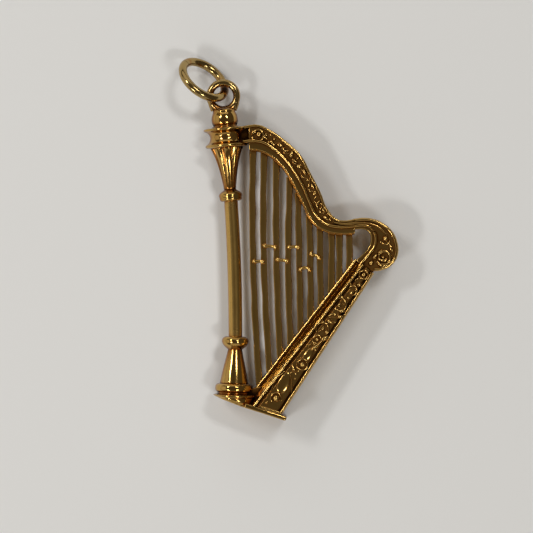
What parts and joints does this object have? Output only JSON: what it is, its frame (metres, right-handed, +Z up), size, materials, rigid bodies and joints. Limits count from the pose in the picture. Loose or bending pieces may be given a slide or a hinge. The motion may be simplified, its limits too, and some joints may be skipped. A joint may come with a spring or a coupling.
{
  "type": "harp charm",
  "caption": "Cast gold charm in the form of a concert harp, with column, curved neck, slanted soundbox and strings, hung from a loose jump ring in an eye.",
  "frame": {"origin": "under the middle of the charm's box, on the surface that it lies on, with the charm flat on its back", "axes": "+Z up out of the charm's front face, +Y up along the column towards the eye, +X from the column towards the shoulder"},
  "size_m": [0.0188, 0.032, 0.0043],
  "materials": {
    "cast_gold": "polished relief, dark in the hollows",
    "polished_gold": "polished",
    "string_gold": "polished, slightly uneven",
    "ring_gold": "drawn wire, polished"
  },
  "bodies": {
    "harp": {"eye_ring": "ring_gold", "finial": "polished_gold", "capital_drum": "polished_gold", "capital_cone": "cast_gold", "upper_collar": "polished_gold", "column_shaft": "polished_gold", "lower_collar": "polished_gold", "column_foot": "polished_gold", "plinth": "polished_gold", "foot_web": "cast_gold", "base_plate": "polished_gold", "soundbox": "cast_gold", "soundboard_rail": "cast_gold", "soundbox_rims": "cast_gold", "soundbox_ornament": "cast_gold", "neck": "cast_gold", "neck_outer_rim": "cast_gold", "neck_inner_rim": "cast_gold", "neck_string_rail": "cast_gold", "neck_ornament": "cast_gold", "shoulder": "cast_gold", "shoulder_outer_rim": "cast_gold", "shoulder_inner_rim": "cast_gold", "shoulder_volute": "cast_gold", "shoulder_beads": "cast_gold", "string_01": "string_gold", "string_02": "string_gold", "string_03": "string_gold", "string_04": "string_gold", "string_05": "string_gold", "string_06": "string_gold", "string_07": "string_gold", "string_08": "string_gold", "string_09": "string_gold", "string_10": "string_gold", "string_tie_1": "string_gold", "string_tie_2": "string_gold", "string_tie_3": "string_gold", "string_tie_4": "string_gold", "string_tie_5": "string_gold", "string_tie_6": "string_gold"},
    "jump_ring": {"jump_ring": "ring_gold"}
  },
  "joints": [
    {"name": "jump_ring_travel", "type": "hinge", "parent": "harp", "child": "jump_ring", "pos_m": [-0.00554, 0.01247, 0.00195], "axis": [0, 0, 1], "range_deg": [-135, 75]}
  ]
}
